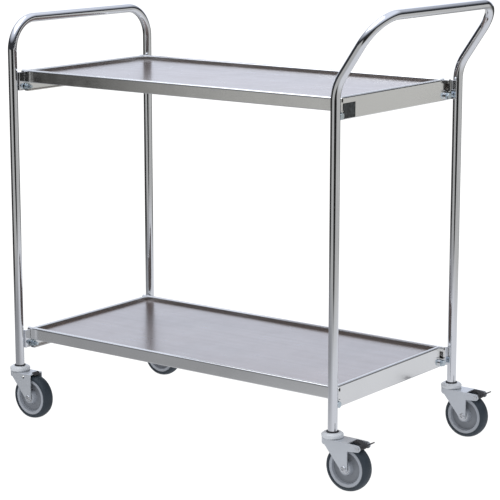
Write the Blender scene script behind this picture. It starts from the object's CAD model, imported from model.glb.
"""Serving trolley: detailed pieces, finishes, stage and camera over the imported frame."""

import math

import bmesh
import bpy
from bpy.props import FloatProperty, FloatVectorProperty, IntProperty, PointerProperty
from mathutils import Matrix, Vector


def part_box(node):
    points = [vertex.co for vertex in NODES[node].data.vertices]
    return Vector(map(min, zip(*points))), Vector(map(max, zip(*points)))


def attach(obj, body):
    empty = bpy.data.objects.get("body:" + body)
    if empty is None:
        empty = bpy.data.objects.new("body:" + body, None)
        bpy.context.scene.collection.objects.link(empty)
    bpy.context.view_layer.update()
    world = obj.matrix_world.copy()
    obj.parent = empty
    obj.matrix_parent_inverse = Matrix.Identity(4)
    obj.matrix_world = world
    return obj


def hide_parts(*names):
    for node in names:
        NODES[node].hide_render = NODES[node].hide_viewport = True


bl_info = {
    "name": "Serving Trolley",
    "version": (1, 0, 0),
    "blender": (4, 5, 0),
    "location": "View3D > Sidebar > Trolley",
    "description": "Builds the detailed pieces, finishes and stage of a two-shelf serving trolley",
    "category": "Object",
}

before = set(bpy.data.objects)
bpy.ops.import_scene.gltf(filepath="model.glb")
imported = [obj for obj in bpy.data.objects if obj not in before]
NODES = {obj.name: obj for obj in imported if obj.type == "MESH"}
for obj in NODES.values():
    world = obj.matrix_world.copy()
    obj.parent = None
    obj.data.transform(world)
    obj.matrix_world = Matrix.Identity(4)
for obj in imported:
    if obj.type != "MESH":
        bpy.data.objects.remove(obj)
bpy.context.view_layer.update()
MM = 0.001
CORNERS = ("front_left", "back_left", "front_right", "back_right")
LEVELS = ("upper", "lower")
BRAKED = ("front_right", "back_right")


# ---- places read from the frame

def node_box(node):
    """Lowest and highest corner of a CAD node, in millimetres."""
    low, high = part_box(node)
    return Vector(low) / MM, Vector(high) / MM


def half_step(value):
    """Rounds a place measured on a faceted mesh to the half millimetre it stands for."""
    return round(value * 2) / 2


def leg_place(corner):
    low, high = node_box("swivel_cap_" + corner)
    return Vector((half_step((low.x + high.x) / 2), half_step((low.y + high.y) / 2), 0))


LEGS = {corner: leg_place(corner) for corner in CORNERS}
LEFT_X = LEGS["front_left"].x
RIGHT_X = LEGS["front_right"].x
HALF_Y = LEGS["back_left"].y
RIM_Z = {level: half_step(node_box(level + "_front_rail")[1].z) for level in LEVELS}
CAP_Z = node_box("swivel_cap_front_left")[0].z
CAP_TOP_Z = node_box("swivel_cap_front_left")[1].z
TUBE_FOOT_Z = node_box("end_hoop")[0].z
FORK_TOP_Z = node_box("fork_front_left")[1].z
LEG_TO_PLATE = 9.0
BOLT_PLATE_X = {-1: LEFT_X + LEG_TO_PLATE, 1: RIGHT_X - LEG_TO_PLATE}
BOLT_DROP = 37.0
RAIL_TO_BOLT = 4.5
TRAIL = half_step(sum(p.x for p in node_box("wheel_front_left")) / 2 - LEFT_X)


# ---- settings

def size(name, description, default, **more):
    """A length in millimetres."""
    return FloatProperty(name=name, description=description + ", in millimetres", default=default,
                         min=0.0, precision=2, **more)


def colour(name, description, default):
    return FloatVectorProperty(name=name, description=description, default=default, size=3,
                               min=0.0, max=1.0, subtype="COLOR")


class TubeSettings(bpy.types.PropertyGroup):
    diameter: size("Tube diameter", "Outside diameter of the bent tube", 20.0)
    hoop_bend: size("Hoop bend", "Centre-line radius of the hoops' corner bends", 70.0)
    knee_bend: size("Knee bend", "Centre-line radius where the handle leans out", 90.0)
    end_bar_z: size("End bar height", "Height of the end hoop's bar", 907.0)
    knee_z: size("Knee height", "Height at which the handle leans out", 818.0)
    reach: size("Handle reach", "How far the handle bar stands out past its legs", 97.0)
    lean: FloatProperty(name="Handle lean", description="Lean of the handle from the vertical",
                        default=math.radians(34.5), subtype="ANGLE", unit="ROTATION")
    sides: IntProperty(name="Tube sides", description="Flats around the tube", default=64, min=12)
    chrome: colour("Chrome", "Colour of the polished tube", (0.83, 0.84, 0.86))


class ShelfSettings(bpy.types.PropertyGroup):
    rim_width: size("Rim width", "Width of the rolled rim", 9.0)
    sheet: size("Sheet", "Thickness of the rail sheet", 1.5)
    fold: size("Fold radius", "Centre-line radius of the folded edges", 1.6)
    long_height: size("Long rail height", "Height of the front and back rails", 28.0)
    end_height: size("End rail height", "Height of the end rails", 47.0)
    inner_drop: size("Inner wall", "Depth of the rim's inner wall", 10.0)
    long_flange: size("Board flange", "Width of the flange under the board", 16.0)
    end_flange: size("End foot", "Width of the end rail's turned-in foot", 12.0)
    steel: colour("Steel", "Colour of the shelf rails", (0.88, 0.88, 0.865))
    board: colour("Board", "Colour of the laminated board", (0.075, 0.042, 0.027))
    badge: colour("Badge", "Colour of the blank badge", (0.012, 0.014, 0.015))


class CasterSettings(bpy.types.PropertyGroup):
    wheel_d: size("Wheel diameter", "Diameter over the tyre", 100.0)
    tyre_w: size("Tyre width", "Width of the tyre", 28.0)
    trail: size("Trail", "Offset of the axle behind the swivel axis", TRAIL)
    core_r: size("Core radius", "Radius of the wheel centre under the tyre", 41.0)
    hub_r: size("Hub radius", "Radius of the hub boss", 14.0)
    hub_half: size("Half hub", "Half of the hub's length", 16.3)
    zinc: colour("Fork", "Colour of the forks and swivel caps", (0.56, 0.59, 0.635))
    centre: colour("Wheel centre", "Colour of the wheel centres", (0.30, 0.325, 0.37))
    tyre: colour("Tyre", "Colour of the tyres", (0.024, 0.036, 0.05))
    black: colour("Black parts", "Colour of the pedals and plugs", (0.006, 0.006, 0.007))
    bolt: colour("Bolts", "Colour of the zinc-plated bolts", (0.62, 0.70, 0.74))


class StageSettings(bpy.types.PropertyGroup):
    lens: FloatProperty(name="Lens", description="Camera focal length, in millimetres", default=138.0,
                        min=10.0, unit="CAMERA")
    camera_x: size("Camera X", "Camera place along the length", 2497.0)
    camera_back: size("Camera back", "Camera distance in front of the trolley's middle", 3323.0)
    camera_z: size("Camera height", "Camera height over the floor", 1258.0)
    turn: FloatProperty(name="Turn", description="Camera turn from straight at the front",
                        default=math.radians(36.83), subtype="ANGLE", unit="ROTATION")
    tilt: FloatProperty(name="Tilt", description="Camera tilt below the horizon",
                        default=math.radians(11.58), subtype="ANGLE", unit="ROTATION")
    floor: colour("Floor", "Colour of the pale floor", (0.93, 0.93, 0.93))
    ambient: FloatProperty(name="Ambient", description="Strength of the surrounding light",
                           default=1.0, min=0.0)
    key: FloatProperty(name="Key light", description="Power of the overhead soft light",
                       default=22.0, min=0.0, unit="POWER")


GROUPS = {"trolley_tubes": TubeSettings, "trolley_shelves": ShelfSettings,
          "trolley_casters": CasterSettings, "trolley_stage": StageSettings}


# ---- finishes

class Nodes:
    """Short hand for building one node tree."""

    def __init__(self, tree):
        self.tree = tree
        tree.nodes.clear()

    def add(self, kind, **settings):
        node = self.tree.nodes.new(kind)
        for key, value in settings.items():
            setattr(node, key, value)
        return node

    def link(self, source, target):
        self.tree.links.new(source, target)

    def noise(self, coords, scale, stretch=(1, 1, 1), detail=3.0, rough=0.5):
        mapping = self.add("ShaderNodeMapping")
        mapping.inputs["Scale"].default_value = stretch
        self.link(coords, mapping.inputs["Vector"])
        noise = self.add("ShaderNodeTexNoise")
        noise.inputs["Scale"].default_value = scale
        noise.inputs["Detail"].default_value = detail
        noise.inputs["Roughness"].default_value = rough
        self.link(mapping.outputs["Vector"], noise.inputs["Vector"])
        return noise.outputs["Fac"]

    def span(self, value, low, high, start=0.3, end=0.7):
        node = self.add("ShaderNodeMapRange")
        node.inputs["From Min"].default_value = start
        node.inputs["From Max"].default_value = end
        node.inputs["To Min"].default_value = low
        node.inputs["To Max"].default_value = high
        self.link(value, node.inputs["Value"])
        return node.outputs["Result"]

    def mix(self, factor, a, b):
        node = self.add("ShaderNodeMix", data_type="RGBA")
        for socket, value in ((node.inputs[6], a), (node.inputs[7], b)):
            if isinstance(value, (tuple, list)):
                socket.default_value = (*value, 1.0)
            else:
                self.link(value, socket)
        self.link(factor, node.inputs[0])
        return node.outputs[2]

    def math(self, operation, a, b=None, clamp=False):
        node = self.add("ShaderNodeMath", operation=operation, use_clamp=clamp)
        for socket, value in zip(node.inputs, (a, b)):
            if value is None:
                continue
            if isinstance(value, (int, float)):
                socket.default_value = value
            else:
                self.link(value, socket)
        return node.outputs[0]

    def dot(self, vector, direction):
        node = self.add("ShaderNodeVectorMath", operation="DOT_PRODUCT")
        node.inputs[1].default_value = tuple(direction)
        self.link(vector, node.inputs[0])
        return node.outputs["Value"]

    def bump(self, height, strength, distance, normal=None):
        node = self.add("ShaderNodeBump")
        node.inputs["Strength"].default_value = strength
        node.inputs["Distance"].default_value = distance
        self.link(height, node.inputs["Height"])
        if normal is not None:
            self.link(normal, node.inputs["Normal"])
        return node.outputs["Normal"]


def choose_for_mirrors(n, seen, plain, output):
    """Ends a tree: reflections see one shader, the camera and the lighting the other."""
    path = n.add("ShaderNodeLightPath")
    pick = n.add("ShaderNodeMixShader")
    n.link(path.outputs["Is Glossy Ray"], pick.inputs[0])
    n.link(plain.outputs[0], pick.inputs[1])
    n.link(seen.outputs[0], pick.inputs[2])
    out = n.add(output)
    n.link(pick.outputs[0], out.inputs["Surface"])


def finish_material(name, base, worn, metallic, rough, grain, grain_stretch=(1, 1, 1),
                    grain_bump=0.1, grain_depth=0.00005, patch_scale=9.0, coat=0.0, coat_rough=0.05,
                    specular=0.5, dust=None, dust_top=0.1, coat_ior=1.5):
    """A material whose colour, roughness and surface all vary in object space.

    base and worn are the two colours that broad patches move between, rough is the (lowest, highest)
    roughness, grain the scale of the fine surface texture, and dust a colour that settles low down.
    """
    material = bpy.data.materials.get(name)
    if material:
        return material
    material = bpy.data.materials.new(name)
    material.use_nodes = True
    n = Nodes(material.node_tree)
    coords = n.add("ShaderNodeTexCoord").outputs["Object"]
    patches = n.noise(coords, patch_scale, detail=4.0)
    fine = n.noise(coords, grain, grain_stretch, detail=5.0, rough=0.6)
    smudge = n.noise(coords, patch_scale * 5.0, detail=6.0, rough=0.65)
    tint = n.mix(n.span(patches, 0.0, 1.0, 0.35, 0.7), base, worn)
    if dust is not None:
        place = n.add("ShaderNodeSeparateXYZ")
        n.link(coords, place.inputs[0])
        low = n.span(place.outputs["Z"], 0.55, 0.0, 0.0, dust_top)
        amount = n.math("MULTIPLY", low, n.span(smudge, 0.0, 1.0, 0.4, 0.75), clamp=True)
        tint = n.mix(amount, tint, dust)
    roughness = n.math("ADD", n.span(smudge, rough[0], rough[1]),
                       n.span(fine, -0.02, 0.04), clamp=True)
    normal = n.bump(fine, grain_bump, grain_depth)
    normal = n.bump(smudge, grain_bump * 0.35, grain_depth * 4.0, normal)
    shader = n.add("ShaderNodeBsdfPrincipled")
    shader.inputs["Metallic"].default_value = metallic
    shader.inputs["Specular IOR Level"].default_value = specular
    shader.inputs["Coat Weight"].default_value = coat
    shader.inputs["Coat Roughness"].default_value = coat_rough
    shader.inputs["Coat IOR"].default_value = coat_ior
    n.link(tint, shader.inputs["Base Color"])
    n.link(roughness, shader.inputs["Roughness"])
    n.link(normal, shader.inputs["Normal"])
    out = n.add("ShaderNodeOutputMaterial")
    n.link(shader.outputs[0], out.inputs["Surface"])
    return material


def shade(colour_value, factor):
    return tuple(min(1.0, c * factor) for c in colour_value)


def chrome(context):
    base = tuple(context.scene.trolley_tubes.chrome)
    return finish_material("polished_chrome", base, shade(base, 0.96), 1.0, (0.035, 0.075), 600.0,
                           grain_bump=0.02, grain_depth=0.00001, patch_scale=6.0)


def rail_steel(context, along):
    base = tuple(context.scene.trolley_shelves.steel)
    stretch = (0.02, 1.0, 1.0) if along == "X" else (1.0, 0.02, 1.0)
    return finish_material("brushed_rail_" + along.lower(), base, shade(base, 0.95), 1.0, (0.12, 0.19),
                           900.0, stretch, 0.02, 0.00001, 5.0)


def weld_steel(context):
    base = shade(tuple(context.scene.trolley_tubes.chrome), 0.9)
    return finish_material("weld_bead", base, shade(base, 0.8), 1.0, (0.2, 0.35), 900.0,
                           grain_bump=0.5, grain_depth=0.0001, patch_scale=60.0)


def laminate(context):
    base = tuple(context.scene.trolley_shelves.board)
    return finish_material("walnut_laminate", base, shade(base, 1.7), 0.0, (0.26, 0.34), 60.0,
                           (0.05, 1.0, 1.0), 0.03, 0.00002, 3.0, coat=1.0, coat_rough=0.2,
                           specular=1.0, coat_ior=1.75)


def zinc_paint(context):
    base = tuple(context.scene.trolley_casters.zinc)
    return finish_material("satin_zinc", base, shade(base, 0.93), 0.55, (0.3, 0.4), 420.0,
                           grain_bump=0.12, grain_depth=0.00005, patch_scale=14.0, coat=0.25,
                           coat_rough=0.25)


def cap_plastic(context):
    base = shade(tuple(context.scene.trolley_casters.zinc), 0.95)
    return finish_material("cap_plastic", base, shade(base, 0.95), 0.0, (0.22, 0.32), 500.0,
                           grain_bump=0.05, grain_depth=0.00003, patch_scale=20.0, coat=0.4,
                           coat_rough=0.15)


def centre_plastic(context):
    base = tuple(context.scene.trolley_casters.centre)
    return finish_material("wheel_centre_plastic", base, shade(base, 0.9), 0.0, (0.38, 0.5), 700.0,
                           grain_bump=0.1, grain_depth=0.00004, patch_scale=25.0,
                           dust=(0.30, 0.30, 0.30), dust_top=0.03)


def web_plastic(context):
    base = shade(tuple(context.scene.trolley_casters.centre), 0.62)
    return finish_material("wheel_web_plastic", base, shade(base, 0.86), 0.0, (0.4, 0.55), 700.0,
                           grain_bump=0.12, grain_depth=0.00004, patch_scale=25.0)


def tyre_rubber(context):
    base = tuple(context.scene.trolley_casters.tyre)
    return finish_material("tyre_rubber", base, shade(base, 0.75), 0.0, (0.42, 0.58), 800.0,
                           grain_bump=0.2, grain_depth=0.00008, patch_scale=30.0,
                           specular=0.4, dust=(0.08, 0.085, 0.09), dust_top=0.035)


def black_plastic(context):
    base = tuple(context.scene.trolley_casters.black)
    return finish_material("black_plastic", base, shade(base, 2.2), 0.0, (0.35, 0.5), 900.0,
                           grain_bump=0.25, grain_depth=0.00008, patch_scale=40.0, specular=0.35)


def bolt_zinc(context):
    base = tuple(context.scene.trolley_casters.bolt)
    return finish_material("bolt_zinc", base, shade(base, 0.85), 1.0, (0.2, 0.34), 900.0,
                           grain_bump=0.15, grain_depth=0.00004, patch_scale=60.0)


def plain_steel(context):
    return finish_material("plain_steel", (0.6, 0.61, 0.63), (0.52, 0.53, 0.55), 1.0, (0.18, 0.3),
                           900.0, grain_bump=0.1, grain_depth=0.00003, patch_scale=50.0)


def badge_print(context):
    base = tuple(context.scene.trolley_shelves.badge)
    return finish_material("badge_matte", base, shade(base, 4.0), 0.0, (0.35, 0.55), 300.0,
                           grain_bump=0.1, grain_depth=0.00003, patch_scale=160.0, specular=0.4)


# ---- meshes

def add_object(name, mesh):
    obj = bpy.data.objects.new(name, mesh)
    bpy.context.scene.collection.objects.link(obj)
    return obj


def settle(piece, body, node=None):
    """Rides a piece on its body and gives its finish slot and the CAD node it stands for."""
    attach(piece, body)
    if node:
        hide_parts(node)


def smooth(mesh, angle=34.0):
    mesh.shade_smooth()
    mesh.set_sharp_from_angle(angle=math.radians(angle))


def from_bmesh(name, bm, material, angle=34.0, outward=True, weigh=True):
    """Ends a bmesh in metres: normals outward, smooth shading split at sharp folds, one material."""
    if outward:
        bmesh.ops.recalc_face_normals(bm, faces=bm.faces)
    mesh = bpy.data.meshes.new(name)
    bm.to_mesh(mesh)
    bm.free()
    mesh.materials.append(material)
    smooth(mesh, angle)
    obj = add_object(name, mesh)
    return weighted(obj) if weigh else obj


def weighted(obj):
    """Gives flat faces the say over the shading where they meet small rounded edges."""
    modifier = obj.modifiers.new("Weighted", "WEIGHTED_NORMAL")
    modifier.keep_sharp = True
    modifier.weight = 80
    depsgraph = bpy.context.evaluated_depsgraph_get()
    mesh = bpy.data.meshes.new_from_object(obj.evaluated_get(depsgraph))
    obj.modifiers.clear()
    old = obj.data
    obj.data = mesh
    mesh.name = obj.name
    bpy.data.meshes.remove(old)
    return obj


def grid_shell(bm, rings, closed_ends=True, ring_closed=True, loop=False):
    """Skins equal rings of points (in millimetres) into one shell."""
    rows = [[bm.verts.new(Vector(p) * MM) for p in ring] for ring in rings]
    count = len(rows[0])
    pairs = list(zip(rows, rows[1:] + ([rows[0]] if loop else [])))
    if not loop:
        pairs = pairs[: len(rows) - 1]
    for a, b in pairs:
        for i in range(count if ring_closed else count - 1):
            j = (i + 1) % count
            bm.faces.new((a[i], a[j], b[j], b[i]))
    if closed_ends and not loop:
        bm.faces.new(list(reversed(rows[0])))
        bm.faces.new(rows[-1])
    return rows


def fillet_path(points, radii, step=math.radians(2.5)):
    """A polyline through points with its inner corners rounded to the given radii."""
    out = [Vector(points[0])]
    for before, corner, after, radius in zip(points, points[1:], points[2:], radii):
        p = Vector(corner)
        d1 = (p - Vector(before)).normalized()
        d2 = (Vector(after) - p).normalized()
        angle = d1.angle(d2)
        reach = radius * math.tan(angle / 2)
        axis = d1.cross(d2).normalized()
        start = p - d1 * reach
        centre = start + axis.cross(d1) * radius
        count = max(3, math.ceil(angle / step))
        for i in range(count + 1):
            turn = Matrix.Rotation(angle * i / count, 3, axis)
            out.append(centre + turn @ (start - centre))
    out.append(Vector(points[-1]))
    return out


def sweep_tube(bm, path, radius, sides):
    """A round bar along a path, closed at both ends."""
    tangents = []
    for i, p in enumerate(path):
        a = path[max(i - 1, 0)]
        b = path[min(i + 1, len(path) - 1)]
        tangents.append((b - a).normalized())
    tangents[0] = (path[1] - path[0]).normalized()
    tangents[-1] = (path[-1] - path[-2]).normalized()
    normal = tangents[0].orthogonal().normalized()
    rings = []
    previous = tangents[0]
    for p, t in zip(path, tangents):
        normal = previous.rotation_difference(t) @ normal
        normal = (normal - t * normal.dot(t)).normalized()
        side = t.cross(normal)
        rings.append([p + (normal * math.cos(a) + side * math.sin(a)) * radius
                      for a in (2 * math.pi * k / sides for k in range(sides))])
        previous = t
    grid_shell(bm, rings)


def lathe(bm, profile, centre, axis="Z", sides=96):
    """Turns a closed profile of (radius, height) points, in millimetres, about an axis."""
    rings = []
    for k in range(sides):
        a = 2 * math.pi * k / sides
        ring = []
        for radius, height in profile:
            u, v = radius * math.cos(a), radius * math.sin(a)
            offset = Vector((u, v, height)) if axis == "Z" else (
                Vector((u, height, v)) if axis == "Y" else Vector((height, u, v)))
            ring.append(Vector(centre) + offset)
        rings.append(ring)
    grid_shell(bm, rings, closed_ends=False, loop=True)
    bmesh.ops.remove_doubles(bm, verts=bm.verts, dist=1e-7)
    bmesh.ops.dissolve_degenerate(bm, edges=bm.edges, dist=1e-7)


def round_profile(points, radii, steps=5):
    """Rounds the corners of a closed 2-D profile."""
    out = []
    count = len(points)
    for i, (x, y) in enumerate(points):
        radius = radii[i]
        p = Vector((x, y))
        a = Vector(points[i - 1]) - p
        b = Vector(points[(i + 1) % count]) - p
        if radius <= 0 or a.length < 1e-6 or b.length < 1e-6:
            out.append((x, y))
            continue
        half = a.angle(b) / 2
        reach = min(radius / math.tan(half), a.length * 0.48, b.length * 0.48)
        start, end = p + a.normalized() * reach, p + b.normalized() * reach
        for k in range(steps + 1):
            t = k / steps
            q = start * (1 - t) ** 2 + p * 2 * t * (1 - t) + end * t * t
            out.append((q.x, q.y))
    return out


def strip_outline(line, thickness):
    """The closed outline of a sheet whose middle follows a 2-D line."""
    left, right = [], []
    for i, p in enumerate(line):
        a, b = Vector(line[max(i - 1, 0)]), Vector(line[min(i + 1, len(line) - 1)])
        d = (b - a).normalized()
        normal = Vector((-d.y, d.x)) * thickness / 2
        left.append(Vector(p) + normal)
        right.append(Vector(p) - normal)
    return [(q.x, q.y) for q in left + right[::-1]]


def arc(cx, cy, radius, start, end, steps=8):
    return [(cx + radius * math.cos(a), cy + radius * math.sin(a))
            for a in (math.radians(start + (end - start) * k / steps) for k in range(steps + 1))]


def box_shell(bm, low, high, bevel=0.0, segments=2):
    """A box with rounded edges, its corners in millimetres."""
    low, high = Vector(low) * MM, Vector(high) * MM
    made = bmesh.ops.create_cube(bm, size=1.0)["verts"]
    for v in made:
        v.co = Vector(((v.co.x + 0.5) * (high.x - low.x) + low.x,
                       (v.co.y + 0.5) * (high.y - low.y) + low.y,
                       (v.co.z + 0.5) * (high.z - low.z) + low.z))
    if bevel:
        edges = list({e for v in made for e in v.link_edges})
        bmesh.ops.bevel(bm, geom=edges, offset=bevel * MM, segments=segments, profile=0.5,
                        affect="EDGES", clamp_overlap=True)


def refine(node, name, material, bevel, wide=None, wide_bevel=0.0, segments=3):
    """A copy of a CAD node's surface with its hard edges rounded.

    wide picks edges, by their two ends in millimetres, that take the wider rounding.
    """
    bm = bmesh.new()
    bm.from_mesh(NODES[node].data)
    bmesh.ops.remove_doubles(bm, verts=bm.verts, dist=2e-6)
    bmesh.ops.dissolve_degenerate(bm, edges=bm.edges, dist=1e-6)
    bmesh.ops.dissolve_limit(bm, angle_limit=math.radians(0.8), verts=bm.verts, edges=bm.edges)

    def hard_edges():
        return [e for e in bm.edges if len(e.link_faces) == 2 and e.calc_face_angle(0) > math.radians(28)]

    if wide is not None:
        chosen = [e for e in hard_edges() if wide(e.verts[0].co / MM, e.verts[1].co / MM)]
        if chosen:
            bmesh.ops.bevel(bm, geom=chosen, offset=wide_bevel * MM, segments=4, profile=0.5,
                            affect="EDGES", clamp_overlap=True)
    if bevel:
        bmesh.ops.bevel(bm, geom=hard_edges(), offset=bevel * MM, segments=segments, profile=0.5,
                        affect="EDGES", clamp_overlap=True)
    bmesh.ops.triangulate(bm, faces=[f for f in bm.faces if len(f.verts) > 4])
    return from_bmesh(name, bm, material, angle=40.0, outward=False)


# ---- tubes

def hoop_paths(settings):
    """Centre lines of the end hoop and of the push hoop, in millimetres."""
    end = [(LEFT_X, -HALF_Y, TUBE_FOOT_Z), (LEFT_X, -HALF_Y, settings.end_bar_z),
           (LEFT_X, HALF_Y, settings.end_bar_z), (LEFT_X, HALF_Y, TUBE_FOOT_Z)]
    top_z = settings.knee_z + settings.reach / math.tan(settings.lean)
    top_x = RIGHT_X + settings.reach
    push = [(RIGHT_X, -HALF_Y, TUBE_FOOT_Z), (RIGHT_X, -HALF_Y, settings.knee_z),
            (top_x, -HALF_Y, top_z), (top_x, HALF_Y, top_z),
            (RIGHT_X, HALF_Y, settings.knee_z), (RIGHT_X, HALF_Y, TUBE_FOOT_Z)]
    corner, knee = settings.hoop_bend, settings.knee_bend
    return (fillet_path(end, [corner, corner]),
            fillet_path(push, [knee, corner, corner, knee]))


class TROLLEY_OT_tubes(bpy.types.Operator):
    """Build the end hoop and the push handle's hoop"""
    bl_idname = "trolley.tubes"
    bl_label = "Bent tubes"

    def execute(self, context):
        settings = context.scene.trolley_tubes
        for node, path in zip(("end_hoop", "push_hoop"), hoop_paths(settings)):
            bm = bmesh.new()
            sweep_tube(bm, path, settings.diameter / 2, settings.sides)
            piece = from_bmesh(node + "_tube", bm, chrome(context), weigh=False)
            settle(piece, "cart", node)
        return {"FINISHED"}


# ---- shelves

def rail_line(height, flange, settings, full=True):
    """Middle line of a rail's sheet: (inward from the outer face, up from the rim's top)."""
    half = settings.sheet / 2
    fold, rim = settings.fold, settings.rim_width / 2
    low = -height + half
    line = [(flange, low), (half + fold, low)]
    line += arc(half + fold, low + fold, fold, 270, 180)[1:]
    if not full:
        return line + [(half, -settings.long_height - 0.5)]
    line.append((half, -rim))
    line += arc(rim, -rim, rim - half, 180, 0, 20)[1:]
    line.append((settings.rim_width - half, -settings.inner_drop))
    return line


def extrude_rail(bm, outline, place, start, end):
    grid_shell(bm, [[place(u, w, along) for u, w in outline] for along in (start, end)])


class TROLLEY_OT_shelves(bpy.types.Operator):
    """Build the folded rails and the laminated boards of both shelves"""
    bl_idname = "trolley.shelves"
    bl_label = "Shelves"

    def execute(self, context):
        s = context.scene.trolley_shelves
        long_outline = strip_outline(rail_line(s.long_height, s.long_flange, s), s.sheet)
        notched_outline = strip_outline(rail_line(s.long_height, s.rim_width, s), s.sheet)
        end_outline = strip_outline(rail_line(s.end_height, s.end_flange, s), s.sheet)
        foot_outline = strip_outline(rail_line(s.end_height, s.end_flange, s, full=False), s.sheet)
        for level in LEVELS:
            top = RIM_Z[level]
            for side, sign in (("front", -1), ("back", 1)):
                node = f"{level}_{side}_rail"
                low, high = node_box(node)
                face = high.y if sign > 0 else low.y
                notch = node_box(level + "_left_rail")[0].x + s.sheet - low.x
                bm = bmesh.new()
                for outline, a, b in ((notched_outline, low.x, low.x + notch),
                                      (long_outline, low.x + notch, high.x - notch),
                                      (notched_outline, high.x - notch, high.x)):
                    extrude_rail(bm, outline,
                                 lambda u, w, x: (x, face - sign * u, top + w), a, b)
                self.finish(context, bm, node, "X")
            for side, sign in (("left", -1), ("right", 1)):
                node = f"{level}_{side}_rail"
                low, high = node_box(node)
                face = high.x if sign > 0 else low.x
                inner = high.y - s.rim_width
                bm = bmesh.new()

                def place(u, w, y):
                    return (face - sign * u, y, top + w)

                extrude_rail(bm, end_outline, place, -inner, inner)
                for a, b in ((-high.y, -inner), (inner, high.y)):
                    extrude_rail(bm, foot_outline, place, a, b)
                self.finish(context, bm, node, "Y")
            node = level + "_board"
            low, high = node_box(node)
            bm = bmesh.new()
            box_shell(bm, low, high, bevel=0.6)
            piece = from_bmesh(node + "_panel", bm, laminate(context))
            settle(piece, "cart", node)
        return {"FINISHED"}

    def finish(self, context, bm, node, along):
        piece = from_bmesh(node + "_sheet", bm, rail_steel(context, along))
        settle(piece, "cart", node)


class TROLLEY_OT_brackets(bpy.types.Operator):
    """Build the corner brackets with their weld beads, and the blank badge"""
    bl_idname = "trolley.brackets"
    bl_label = "Brackets and badge"

    def execute(self, context):
        for corner in CORNERS:
            piece = refine("brackets_" + corner, f"brackets_{corner}_plates", chrome(context), 0.5)
            settle(piece, "cart", "brackets_" + corner)
            self.welds(context, corner)
        low, high = node_box("rail_badge")
        bm = bmesh.new()
        box_shell(bm, low, high, bevel=0.2)
        piece = from_bmesh("rail_badge_plate", bm, badge_print(context))
        settle(piece, "cart", "rail_badge")
        return {"FINISHED"}

    def welds(self, context, corner):
        """Beads where each bracket's lap meets the leg, as a row of overlapping ripples."""
        leg = LEGS[corner]
        tube_r = context.scene.trolley_tubes.diameter / 2
        inward = 1 if leg.x < 0 else -1
        across = -1 if leg.y > 0 else 1
        drop, length, steps, sides = 7.0, 37.0, 34, 10
        bm = bmesh.new()
        for level in LEVELS:
            for along in (-1.2, 4.6):
                reach = math.sqrt(tube_r ** 2 - along ** 2)
                x, y = leg.x + inward * along, leg.y + across * (reach + 0.25)
                rings = []
                for i in range(steps + 1):
                    z = RIM_Z[level] - drop - length * i / steps
                    swell = 0.1 if i in (0, steps) else 0.75 + 0.22 * abs(math.sin(i * 1.1))
                    rings.append([(x + swell * math.cos(a), y + swell * math.sin(a), z)
                                  for a in (2 * math.pi * k / sides for k in range(sides))])
                grid_shell(bm, rings)
        piece = from_bmesh(f"weld_beads_{corner}", bm, weld_steel(context), angle=80.0, weigh=False)
        settle(piece, "cart")


# ---- fasteners

def placing_tree():
    """Geometry Nodes: puts one part at each point, turned by the point's own angle."""
    tree = bpy.data.node_groups.get("place_parts")
    if tree:
        return tree
    tree = bpy.data.node_groups.new("place_parts", "GeometryNodeTree")
    face = tree.interface
    face.new_socket("Places", in_out="INPUT", socket_type="NodeSocketGeometry")
    face.new_socket("Part", in_out="INPUT", socket_type="NodeSocketObject")
    face.new_socket("Finish", in_out="INPUT", socket_type="NodeSocketMaterial")
    size_socket = face.new_socket("Size", in_out="INPUT", socket_type="NodeSocketFloat")
    size_socket.default_value = 1.0
    face.new_socket("Pieces", in_out="OUTPUT", socket_type="NodeSocketGeometry")
    add = tree.nodes.new
    start, end = add("NodeGroupInput"), add("NodeGroupOutput")
    points = add("GeometryNodeMeshToPoints")
    part = add("GeometryNodeObjectInfo")
    turn = add("GeometryNodeInputNamedAttribute")
    turn.data_type = "FLOAT_VECTOR"
    turn.inputs["Name"].default_value = "turn"
    rotate = add("FunctionNodeEulerToRotation")
    place = add("GeometryNodeInstanceOnPoints")
    real = add("GeometryNodeRealizeInstances")
    paint = add("GeometryNodeSetMaterial")
    wires = ((start, "Places", points, "Mesh"), (start, "Part", part, "Object"),
             (points, "Points", place, "Points"), (part, "Geometry", place, "Instance"),
             (turn, "Attribute", rotate, "Euler"), (rotate, "Rotation", place, "Rotation"),
             (start, "Size", place, "Scale"), (place, "Instances", real, "Geometry"),
             (real, "Geometry", paint, "Geometry"), (start, "Finish", paint, "Material"),
             (paint, "Geometry", end, "Pieces"))
    for source, result, target, socket in wires:
        tree.links.new(source.outputs[result], target.inputs[socket])
    return tree


def socket_key(tree, name):
    for item in tree.interface.items_tree:
        if item.item_type == "SOCKET" and item.in_out == "INPUT" and item.name == name:
            return item.identifier
    raise ValueError("the tree has no input named " + name)


def place_parts(name, part, places, turns, material):
    """One plain mesh of copies of part at places (millimetres), each turned by its Euler angles."""
    mesh = bpy.data.meshes.new(name + "_places")
    mesh.from_pydata([tuple(Vector(p) * MM) for p in places], [], [])
    attribute = mesh.attributes.new("turn", "FLOAT_VECTOR", "POINT")
    for item, turn in zip(attribute.data, turns):
        item.vector = turn
    carrier = add_object(name, mesh)
    tree = placing_tree()
    modifier = carrier.modifiers.new("Place", "NODES")
    modifier.node_group = tree
    modifier[socket_key(tree, "Part")] = part
    modifier[socket_key(tree, "Finish")] = material
    modifier[socket_key(tree, "Size")] = 1.0
    depsgraph = bpy.context.evaluated_depsgraph_get()
    made = bpy.data.meshes.new_from_object(carrier.evaluated_get(depsgraph))
    made.name = name
    carrier.modifiers.clear()
    carrier.data = made
    bpy.data.meshes.remove(mesh)
    source = part.data
    bpy.data.objects.remove(part)
    bpy.data.meshes.remove(source)
    if not made.materials:
        made.materials.append(material)
    smooth(made, 34.0)
    return carrier


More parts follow.
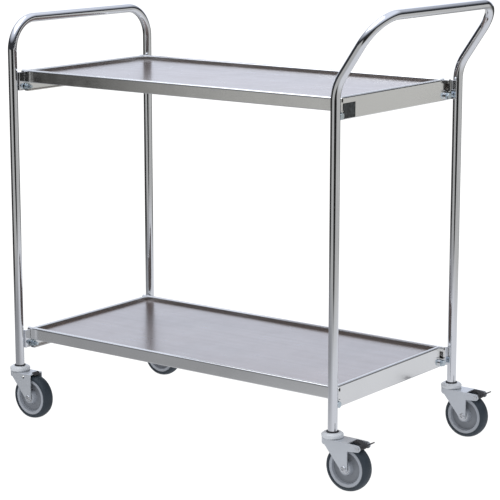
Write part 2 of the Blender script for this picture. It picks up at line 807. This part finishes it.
def hex_ring(across, turn):
    radius = across / 2 / math.cos(math.radians(30))
    return [(radius * math.cos(a), radius * math.sin(a))
            for a in (math.radians(60 * k) + turn for k in range(6))]


def hex_part(bm, across, start, end, bore=0.0):
    """A hexagon along X with turned chamfers, as a bolt head or, with a bore, a nut."""
    steps = 48
    corner = across / 2 / math.cos(math.radians(30))
    round_r = across / 2 * 0.97

    def ring(x, limit):
        points = []
        for k in range(steps):
            a = 2 * math.pi * k / steps
            flat = across / 2 / math.cos((a + math.pi / 6) % (math.pi / 3) - math.pi / 6)
            r = min(flat, limit)
            points.append((x, r * math.cos(a), r * math.sin(a)))
        return points

    drop = (corner - round_r) * 0.6
    inset = 0.35 if bore else 0.0
    rings = [ring(start, round_r), ring(start + drop * 0.5, (round_r + corner) / 2),
             ring(start + drop, corner), ring(end - (drop if bore else 0.05), corner),
             ring(end, round_r if bore else corner)]
    if bore:
        rings += [ring(end, bore + inset), ring(end - inset, bore),
                  ring(start + inset, bore), ring(start, bore + inset)]
    grid_shell(bm, rings, closed_ends=not bore, loop=bool(bore))


def thread_profile(radius, start, end, pitch=1.25, depth=0.4):
    """Half profile of a threaded shank along X: (radius, x) points."""
    points = [(0.0, start), (radius, start)]
    x = start + 0.3
    while x + pitch < end - 0.8:
        points += [(radius, x), (radius - depth, x + pitch * 0.5)]
        x += pitch
    points += [(radius, x), (radius - 0.7, end), (0.0, end)]
    return points


class TROLLEY_OT_fasteners(bpy.types.Operator):
    """Build the shelf bolts, nuts and washers with Geometry Nodes"""
    bl_idname = "trolley.fasteners"
    bl_label = "Shelf fasteners"

    def execute(self, context):
        places, turns = [], []
        bolt_y = abs(node_box("upper_front_rail")[0].y) - RAIL_TO_BOLT
        for level in LEVELS:
            for sign in (-1, 1):
                for side in (-1, 1):
                    places.append((BOLT_PLATE_X[side], sign * bolt_y, RIM_Z[level] - BOLT_DROP))
                    turns.append((0.3 * sign + 0.2 * side, 0.0, 0.0 if side < 0 else math.pi))
        washer, plate, sheet, head, nut, tip = 1.6, 3.0, 1.5, 5.2, 6.4, 8.0
        across, shank_r, washer_r, hole_r = 12.8, 4.0, 8.0, 4.3
        inner = plate + sheet
        bm = bmesh.new()
        hex_part(bm, across, -washer - head, -washer)
        lathe(bm, [(0.0, -washer - 0.01), *thread_profile(
            shank_r, -washer, inner + washer + nut + tip)[1:]], (0, 0, 0), "X", 32)
        bolt = from_bmesh("bolt_part", bm, bolt_zinc(context))
        piece = place_parts("shelf_bolt_set", bolt, places, turns, bolt_zinc(context))
        settle(piece, "cart", "shelf_bolts")
        bm = bmesh.new()
        for a in (-washer, inner):
            b = a + washer
            profile = round_profile([(hole_r, a), (washer_r, a), (washer_r, b), (hole_r, b)],
                                    [0.15, 0.4, 0.4, 0.15], 3)
            lathe(bm, profile, (0, 0, 0), "X", 48)
        start = inner + washer + 0.01
        hex_part(bm, across, start, start + nut, bore=shank_r + 0.05)
        nuts = from_bmesh("nut_part", bm, bolt_zinc(context))
        piece = place_parts("shelf_nut_set", nuts, places, turns, bolt_zinc(context))
        settle(piece, "cart", "shelf_nuts")
        return {"FINISHED"}


# ---- casters

class TROLLEY_OT_swivel_heads(bpy.types.Operator):
    """Build the stem plugs' collars and the domed swivel caps"""
    bl_idname = "trolley.swivel_heads"
    bl_label = "Swivel heads"

    def execute(self, context):
        base = CAP_TOP_Z - CAP_Z
        bm = bmesh.new()
        for corner in CORNERS:
            leg = LEGS[corner]
            high = TUBE_FOOT_Z - CAP_TOP_Z
            profile = round_profile(
                [(5.0, 0.0), (12.5, 0.0), (12.5, high), (8.4, high), (8.4, high + 45), (5.0, high + 45)],
                [0, 0.4, 0.7, 0, 1.0, 0], 4)
            lathe(bm, profile, (leg.x, leg.y, CAP_TOP_Z), "Z", 64)
        piece = from_bmesh("stem_plug_set", bm, black_plastic(context))
        settle(piece, "cart", "stem_plugs")
        for corner in CORNERS:
            leg = LEGS[corner]
            outline = [(5.0, 0.9), (5.0, base - 1.2), (12.6, base - 1.2), (13.6, base),
                       (17.4, base), (22.9, base - 3.6), (22.9, 1.9), (22.1, 1.4), (22.1, 0.0),
                       (20.7, 0.0), (20.7, 4.5), (8.5, 4.5), (8.5, 0.9)]
            radii = [0, 0, 0.3, 0.8, 2.4, 3.4, 0.9, 0.2, 0.4, 0.2, 0.2, 0.2, 0.2]
            bm = bmesh.new()
            lathe(bm, round_profile(outline, radii, 7), (leg.x, leg.y, CAP_Z), "Z", 112)
            piece = from_bmesh(f"swivel_cap_{corner}_cover", bm, cap_plastic(context), angle=45.0)
            settle(piece, "cart", "swivel_cap_" + corner)
        return {"FINISHED"}


class TROLLEY_OT_forks(bpy.types.Operator):
    """Build the pressed forks with their folded edges"""
    bl_idname = "trolley.forks"
    bl_label = "Forks"

    def execute(self, context):
        for corner in CORNERS:
            leg = LEGS[corner]

            def folded(a, b, leg=leg):
                """The outer edge around the top plate."""
                on_top = min(a.z, b.z) > FORK_TOP_Z - 0.2
                outer = all((p - leg).xy.length > 19.0 for p in (a, b))
                back = all(p.x - leg.x > 48.5 for p in (a, b))
                return on_top and outer and not back

            piece = refine("fork_" + corner, f"fork_{corner}_pressing", zinc_paint(context), 0.45,
                           wide=folded, wide_bevel=2.2)
            settle(piece, "swivel_" + corner, "fork_" + corner)
        return {"FINISHED"}


def wheel_profile(s):
    """Closed (radius, half width) profile of a wheel centre with its bearing seats."""
    w, hub, half = s.tyre_w / 2 - 1.0, s.hub_r, s.hub_half
    core = s.core_r
    side = [(11.0, half), (hub - 0.6, half), (hub + 1.6, 5.2), (core - 9.5, 4.6),
            (core - 7.4, w - 0.6), (core - 6.6, w), (core - 1.2, w), (core, w - 1.0)]
    radii = [0.3, 1.2, 2.2, 2.6, 1.0, 0.6, 0.5, 0.4]
    mirror = [(r, -z) for r, z in reversed(side)]
    inner = [(11.0, -half + 7.0), (5.0, -half + 7.0), (5.0, half - 7.0), (11.0, half - 7.0)]
    return (round_profile(side + mirror + inner,
                          radii + radii[::-1] + [0.2, 0.2, 0.2, 0.2], 6))


def tyre_profile(s):
    """Closed (radius, half width) profile of a tyre with a crowned tread and rounded shoulders."""
    radius, half, core = s.wheel_d / 2, s.tyre_w / 2, s.core_r
    drop = 3.5
    crown = (half * half + drop * drop) / (2 * drop)
    tread = []
    steps = 18
    for k in range(steps + 1):
        z = half * (1 - 2 * k / steps) * 0.86
        tread.append((radius - crown + math.sqrt(crown * crown - z * z), z))
    shoulder = (radius - drop - 2.4, half)
    top = [(core, half - 0.6), (core + 0.8, half), shoulder]
    edge = round_profile(top + [tread[0]], [0.2, 0.5, 2.2, 0], 6)[:-1]
    mirrored = [(r, -z) for r, z in reversed(edge)]
    return edge + tread + mirrored


class TROLLEY_OT_wheels(bpy.types.Operator):
    """Build the wheel centres, tyres and axle bolts"""
    bl_idname = "trolley.wheels"
    bl_label = "Wheels and axles"

    def execute(self, context):
        s = context.scene.trolley_casters
        for corner in CORNERS:
            centre = LEGS[corner] + Vector((s.trail, 0, s.wheel_d / 2))
            bm = bmesh.new()
            lathe(bm, wheel_profile(s), centre, "Y", 128)
            piece = from_bmesh(f"wheel_{corner}_centre", bm, centre_plastic(context), angle=50.0)
            self.shade_web(context, piece, centre, s)
            settle(piece, "wheel_" + corner, "wheel_" + corner)
            bm = bmesh.new()
            lathe(bm, tyre_profile(s), centre, "Y", 160)
            piece = from_bmesh(f"tyre_{corner}_tread", bm, tyre_rubber(context), angle=50.0)
            settle(piece, "wheel_" + corner, "tyre_" + corner)
            self.axle(context, corner, centre)
        return {"FINISHED"}

    def shade_web(self, context, piece, centre, s):
        """Gives the recessed web between hub and rim ring its darker grain."""
        mesh = piece.data
        mesh.materials.append(web_plastic(context))
        for face in mesh.polygons:
            place = Vector(face.center) / MM - centre
            radius = math.hypot(place.x, place.z)
            if s.hub_r + 1.5 < radius < s.core_r - 8.6 and abs(place.y) < s.tyre_w / 2 - 2.0:
                face.material_index = 1

    def axle(self, context, corner, centre):
        """Domed head with a hexagon socket towards the front, a thin nut behind."""
        bm = bmesh.new()
        out = -20.0
        head = [(0.0, 17.49), (4.0, 17.49), (4.0, out), (6.4, out), (6.4, out - 1.0),
                (5.2, out - 2.6), (3.1, out - 3.0), (2.5, out - 1.2), (0.0, out - 1.2)]
        lathe(bm, round_profile(head, [0, 0.2, 0, 0.3, 0.6, 1.0, 0.2, 0.1, 0], 4),
              centre, "Y", 48)
        for sign in (-1, 1):
            ring = round_profile([(4.0, 16.5), (6.0, 16.5), (6.0, 17.5), (4.0, 17.5)],
                                 [0, 0.2, 0.2, 0], 3)
            lathe(bm, [(r, sign * h) for r, h in ring], centre, "Y", 48)
        steps = []
        for y, across in ((20.0, 11.6), (20.4, 12.8), (22.6, 12.8), (23.0, 11.6)):
            steps.append([(centre.x + a, centre.y + y, centre.z + b)
                          for a, b in hex_ring(across, 0.26)])
        grid_shell(bm, steps)
        lathe(bm, [(0.0, 17.4), (4.0, 17.4), (4.0, 20.1), (0.0, 20.1)], centre, "Y", 32)
        piece = from_bmesh(f"axle_{corner}_bolt", bm, plain_steel(context))
        settle(piece, "swivel_" + corner, "axle_" + corner)


class TROLLEY_OT_brakes(bpy.types.Operator):
    """Build the brake pedals, their pins and the plain forks' end caps"""
    bl_idname = "trolley.brakes"
    bl_label = "Brakes and fork caps"

    def execute(self, context):
        for corner in CORNERS:
            if corner in BRAKED:
                self.make(context, "brake_pedal_" + corner, "_lever", black_plastic(context), 0.5,
                          "pedal_" + corner, "black_plastic")
                self.ribs(context, corner)
                self.make(context, "brake_pin_" + corner, "_rivet", plain_steel(context), 0.35,
                          "swivel_" + corner, "plain_steel")
            else:
                self.make(context, "fork_cap_" + corner, "_clip", black_plastic(context), 0.5,
                          "swivel_" + corner, "black_plastic")
        return {"FINISHED"}

    def make(self, context, node, suffix, material, bevel, body, slot_name):
        piece = refine(node, node + suffix, material, bevel)
        settle(piece, body, node)

    def ribs(self, context, corner):
        """Grip ribs across the top of the thumb pad."""
        leg = LEGS[corner]
        points = [v.co / MM for v in NODES["brake_pedal_" + corner].data.vertices]
        end_x = min(p.x for p in points)
        top = max(p.z for p in points if p.x < end_x + 10.0)
        bm = bmesh.new()
        for k in range(4):
            x = end_x + 3.6 + 2.7 * k
            box_shell(bm, (x - 0.6, leg.y - 5.4, top - 0.8), (x + 0.6, leg.y + 5.4, top + 0.5), 0.3)
        piece = from_bmesh(f"pedal_ribs_{corner}", bm, black_plastic(context))
        settle(piece, "pedal_" + corner)


class TROLLEY_OT_inner_parts(bpy.types.Operator):
    """Give the king pins, race balls and bearings, which stay as they are, a steel finish"""
    bl_idname = "trolley.inner_parts"
    bl_label = "Pins, balls and bearings"

    def execute(self, context):
        names = ["king_pins"]
        names += [part + corner for part in ("race_balls_", "bearings_") for corner in CORNERS]
        for name in names:
            mesh = NODES[name].data
            mesh.materials.clear()
            mesh.materials.append(plain_steel(context))
        return {"FINISHED"}


# ---- stage

def view_direction(stage):
    """Level direction in which the camera looks."""
    return Vector((-math.sin(stage.turn), math.cos(stage.turn), 0.0))


class TROLLEY_OT_stage(bpy.types.Operator):
    """Build the pale floor, the soft light and the camera"""
    bl_idname = "trolley.stage"
    bl_label = "Stage and camera"

    def execute(self, context):
        stage = context.scene.trolley_stage
        floor = self.floor(stage)
        key = self.key_light(stage)
        camera = self.camera(context, stage)
        self.surroundings(context, stage)
        context.scene.view_settings.view_transform = "Standard"
        context.scene.view_settings.look = "None"
        return {"FINISHED"}

    def floor(self, stage):
        """A wide pale floor. In reflections it is pale near the trolley, dark far in front, and has
        dark bands to the sides, as a studio does."""
        mesh = bpy.data.meshes.new("floor")
        r = 40.0
        mesh.from_pydata([(-r, -r, 0), (r, -r, 0), (r, r, 0), (-r, r, 0)], [], [(0, 1, 2, 3)])
        material = bpy.data.materials.new("pale_floor")
        material.use_nodes = True
        n = Nodes(material.node_tree)
        coords = n.add("ShaderNodeTexCoord").outputs["Object"]
        ahead = view_direction(stage)
        right = Vector((ahead.y, -ahead.x, 0.0))

        front = n.dot(coords, -ahead)
        side = n.dot(coords, right)
        width = n.math("MULTIPLY", n.math("ABSOLUTE", side), 1.5)
        sector = n.span(n.math("SUBTRACT", front, width), 1.0, 0.03, 1.0, 1.8)
        turn = n.math("DIVIDE", n.math("ARCTAN2", side, front), 2 * math.pi)
        ramp = n.add("ShaderNodeValToRGB")
        n.link(n.math("ADD", turn, 0.5), ramp.inputs[0])
        self.round_levels(ramp.color_ramp)
        far = n.math("MULTIPLY", ramp.outputs[0], sector)
        far = n.math("MULTIPLY", far, n.span(n.noise(coords, 0.7), 0.92, 1.08))
        reach = n.add("ShaderNodeVectorMath", operation="LENGTH")
        n.link(coords, reach.inputs[0])
        near = n.span(reach.outputs["Value"], 1.0, 0.0, 1.3, 2.2)
        by_side = n.math("MULTIPLY", near, n.span(side, 0.3, 0.7, -0.75, 0.2))
        distant = n.math("MULTIPLY", far, n.math("SUBTRACT", 1.0, near))
        seen = n.add("ShaderNodeEmission")
        n.link(n.mix(near, (1.0, 1.0, 0.985), (0.98, 1.0, 1.06)), seen.inputs["Color"])
        n.link(n.math("ADD", by_side, distant), seen.inputs["Strength"])
        plain = n.add("ShaderNodeBsdfDiffuse")
        plain.inputs["Color"].default_value = (*shade(stage.floor, 0.12), 1.0)
        glow = n.add("ShaderNodeEmission")
        glow.inputs["Color"].default_value = (*stage.floor, 1.0)
        glow.inputs["Strength"].default_value = 1.08
        both = n.add("ShaderNodeAddShader")
        n.link(plain.outputs[0], both.inputs[0])
        n.link(glow.outputs[0], both.inputs[1])
        choose_for_mirrors(n, seen, both, "ShaderNodeOutputMaterial")
        mesh.materials.append(material)
        return add_object("floor", mesh)

    def round_levels(self, ramp):
        """Brightness of the far floor by direction, in degrees to the right of the camera's side."""
        levels = ((-180, 0.6), (-170, 0.6), (-162, 0.05), (-120, 0.05), (-90, 0.012), (-78.9, 0.014),
                  (-77.9, 0.16), (-76.5, 0.29), (-74.8, 0.35), (-66, 0.46), (0, 0.46), (80, 0.5),
                  (118, 0.56), (126, 0.05), (160, 0.05), (169, 0.6), (180, 0.6))
        stops = ramp.elements
        while len(stops) < len(levels):
            stops.new(0.5)
        for stop, (degrees, level) in zip(stops, levels):
            stop.position = 0.5 + degrees / 360
        for stop, (_, level) in zip(stops, levels):
            stop.color = (level, level, level, 1.0)

    def key_light(self, stage):
        light = bpy.data.lights.new("overhead_soft_light", "AREA")
        light.shape = "RECTANGLE"
        light.size, light.size_y = 2.6, 1.8
        light.energy = stage.key
        obj = bpy.data.objects.new("overhead_soft_light", light)
        obj.location = (-0.3, -0.6, 2.8)
        direction = Vector((0.0, 0.0, 0.6)) - obj.location
        obj.rotation_euler = direction.to_track_quat("-Z", "Y").to_euler()
        bpy.context.scene.collection.objects.link(obj)
        return obj

    def camera(self, context, stage):
        data = bpy.data.cameras.new("camera")
        data.lens = stage.lens
        data.sensor_width = 36.0
        data.dof.use_dof = False
        data.clip_end = 200.0
        obj = bpy.data.objects.new("camera", data)
        obj.location = Vector((stage.camera_x, -stage.camera_back, stage.camera_z)) * MM
        obj.rotation_euler = (math.pi / 2 - stage.tilt, 0.0, stage.turn)
        context.scene.collection.objects.link(obj)
        context.scene.camera = obj
        return obj

    def surroundings(self, context, stage):
        """White to the camera and for lighting. In reflections it is a pale backdrop and ceiling,
        and dark behind the camera, which gives the boards their sheen."""
        world = bpy.data.worlds.new("studio")
        context.scene.world = world
        world.use_nodes = True
        n = Nodes(world.node_tree)
        direction = n.add("ShaderNodeTexCoord").outputs["Generated"]
        split = n.add("ShaderNodeSeparateXYZ")
        n.link(direction, split.inputs[0])
        ahead = view_direction(stage)
        towards = n.dot(direction, ahead)
        ceiling = n.span(split.outputs["Z"], 0.035, 0.9, 0.28, 0.72)
        back = n.span(towards, 0.0, 1.0, 0.72, 0.93)
        back = n.math("MULTIPLY", back, n.span(split.outputs["Z"], 0.9, 1.14, 0.12, 0.26))
        level = n.math("MAXIMUM", ceiling, back)
        mirrored = n.add("ShaderNodeBackground")
        mirrored.inputs["Color"].default_value = (0.93, 0.985, 1.13, 1.0)
        n.link(level, mirrored.inputs["Strength"])
        plain = n.add("ShaderNodeBackground")
        plain.inputs["Color"].default_value = (1.0, 1.0, 1.0, 1.0)
        plain.inputs["Strength"].default_value = stage.ambient
        choose_for_mirrors(n, mirrored, plain, "ShaderNodeOutputWorld")


# ---- add-on

STEPS = (TROLLEY_OT_tubes, TROLLEY_OT_shelves, TROLLEY_OT_brackets, TROLLEY_OT_fasteners,
         TROLLEY_OT_swivel_heads, TROLLEY_OT_forks, TROLLEY_OT_wheels, TROLLEY_OT_brakes,
         TROLLEY_OT_inner_parts, TROLLEY_OT_stage)


class TROLLEY_PT_panel(bpy.types.Panel):
    """Lists the trolley's building steps and settings"""
    bl_idname = "TROLLEY_PT_panel"
    bl_label = "Serving Trolley"
    bl_space_type = "VIEW_3D"
    bl_region_type = "UI"
    bl_category = "Trolley"

    def draw(self, context):
        layout = self.layout
        for step in STEPS:
            layout.operator(step.bl_idname)
        for key, group in GROUPS.items():
            box = layout.box()
            box.label(text=group.__name__.replace("Settings", ""))
            for name in group.__annotations__:
                box.prop(getattr(context.scene, key), name)


CLASSES = (*GROUPS.values(), *STEPS, TROLLEY_PT_panel)


def register():
    for item in CLASSES:
        bpy.utils.register_class(item)
    for key, group in GROUPS.items():
        setattr(bpy.types.Scene, key, PointerProperty(type=group))


def unregister():
    for key in GROUPS:
        delattr(bpy.types.Scene, key)
    for item in reversed(CLASSES):
        bpy.utils.unregister_class(item)


def main():
    register()
    for step in STEPS:
        area, name = step.bl_idname.split(".")
        getattr(getattr(bpy.ops, area), name)()


if __name__ == "__main__":
    main()
